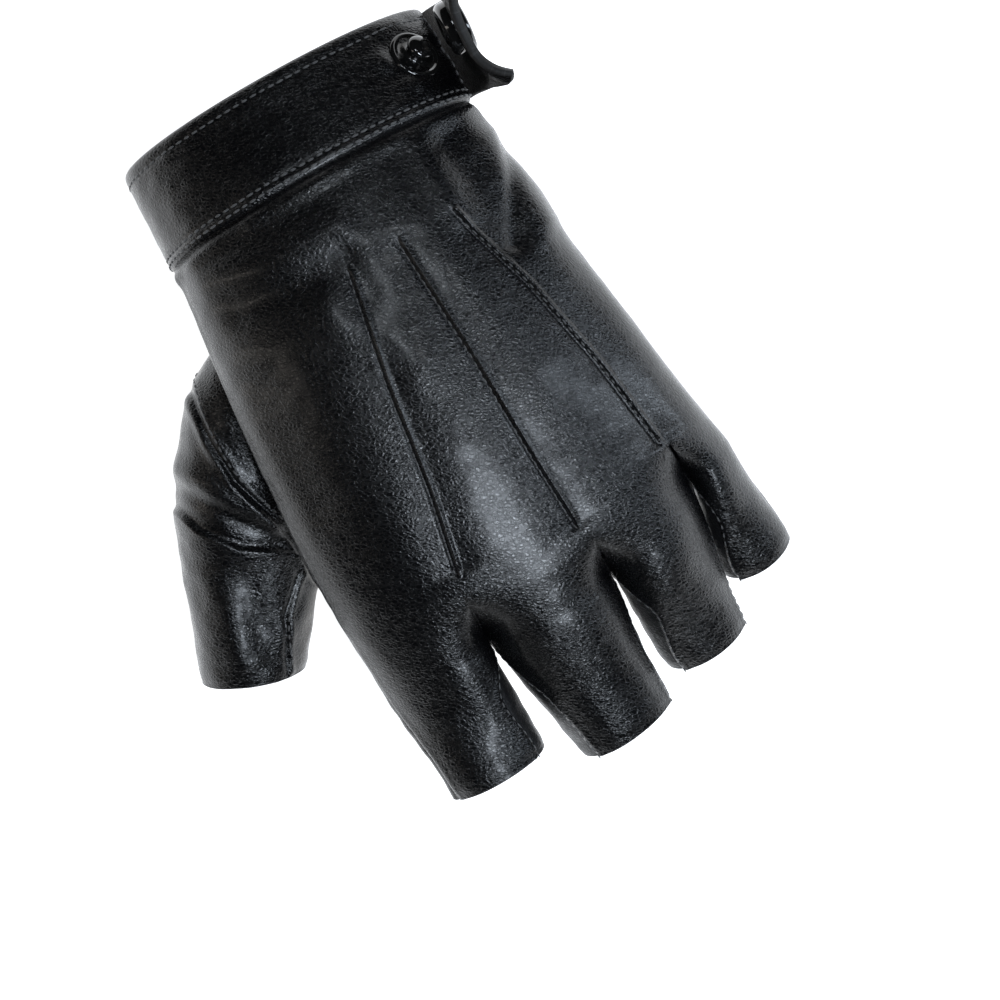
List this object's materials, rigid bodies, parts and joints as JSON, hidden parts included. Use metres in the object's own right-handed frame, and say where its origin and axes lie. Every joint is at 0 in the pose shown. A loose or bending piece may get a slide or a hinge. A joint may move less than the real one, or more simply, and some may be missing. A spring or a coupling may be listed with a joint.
{
  "type": "fingerless glove",
  "caption": "Half-finger leather driving glove for a left hand, open at the snap cuff, with pintucks on its back and a strap end that folds over a stud.",
  "frame": {"origin": "middle of the glove's bounding box, on the surface it lies on palm down", "axes": "+Y from the wrist opening to the fingers, +Z out of the back of the hand, +X to the thumb side"},
  "size_m": [0.131, 0.1598, 0.0636],
  "materials": {
    "leather": "black sheepskin nappa with a fine crinkled grain, semi-gloss",
    "leather_fourchette": "the same black nappa, a little duller",
    "leather_lining": "black leather, inner side, matt",
    "interlining": "black woven stiffener, hidden",
    "snap_black": "gloss black enamel on brass",
    "snap_steel": "plain steel"
  },
  "bodies": {
    "hand": {"back_panel": "leather", "palm_panel": "leather", "thumb_gusset": "leather", "cuff_band": "leather", "cuff_interlining": "interlining", "snap_stud": "snap_black", "snap_post": "snap_steel", "web_index_middle": "leather_fourchette", "web_middle_ring": "leather_fourchette", "web_ring_little": "leather_fourchette"},
    "thumb": {"thumb_sleeve": "leather"},
    "strap": {"strap_lining": "leather_lining", "strap_outer": "leather", "snap_socket": "snap_black", "snap_spring": "snap_steel", "snap_cap": "snap_black"},
    "index": {"index_back": "leather", "index_fourchette": "leather_fourchette", "index_palm": "leather"},
    "middle": {"middle_inner_fourchette": "leather_fourchette", "middle_back": "leather", "middle_outer_fourchette": "leather_fourchette", "middle_palm": "leather"},
    "ring": {"ring_inner_fourchette": "leather_fourchette", "ring_back": "leather", "ring_outer_fourchette": "leather_fourchette", "ring_palm": "leather"},
    "little": {"little_fourchette": "leather_fourchette", "little_back": "leather", "little_palm": "leather"}
  },
  "joints": [
    {"name": "index_bend", "type": "hinge", "parent": "hand", "child": "index", "pos_m": [0.01647, 0.04246, 0.03799], "axis": [-0.9961, -0.0291, -0.0834], "range_deg": [-12, 30], "stiffness_Nm_per_rad": 0.06},
    {"name": "middle_bend", "type": "hinge", "parent": "hand", "child": "middle", "pos_m": [-0.00932, 0.043, 0.04014], "axis": [-0.9928, -0.1056, -0.0574], "range_deg": [-18, 28], "stiffness_Nm_per_rad": 0.06},
    {"name": "ring_bend", "type": "hinge", "parent": "hand", "child": "ring", "pos_m": [-0.03366, 0.04231, 0.03737], "axis": [-0.9933, -0.1077, -0.0426], "range_deg": [-22, 25], "stiffness_Nm_per_rad": 0.06},
    {"name": "little_bend", "type": "hinge", "parent": "hand", "child": "little", "pos_m": [-0.05371, 0.04082, 0.03142], "axis": [-0.9938, -0.1066, -0.0314], "range_deg": [-25, 22], "stiffness_Nm_per_rad": 0.06},
    {"name": "thumb_swing", "type": "hinge", "parent": "hand", "child": "thumb", "pos_m": [0.04192, 0.0019, 0.01774], "axis": [0.0843, 0.1807, 0.9799], "range_deg": [-12, 20], "stiffness_Nm_per_rad": 0.08},
    {"name": "strap_fold", "type": "hinge", "parent": "hand", "child": "strap", "pos_m": [-0.04911, -0.06738, 0.02891], "axis": [0, -0.9455, -0.3256], "range_deg": [-28, 49], "stiffness_Nm_per_rad": 0.05}
  ]
}
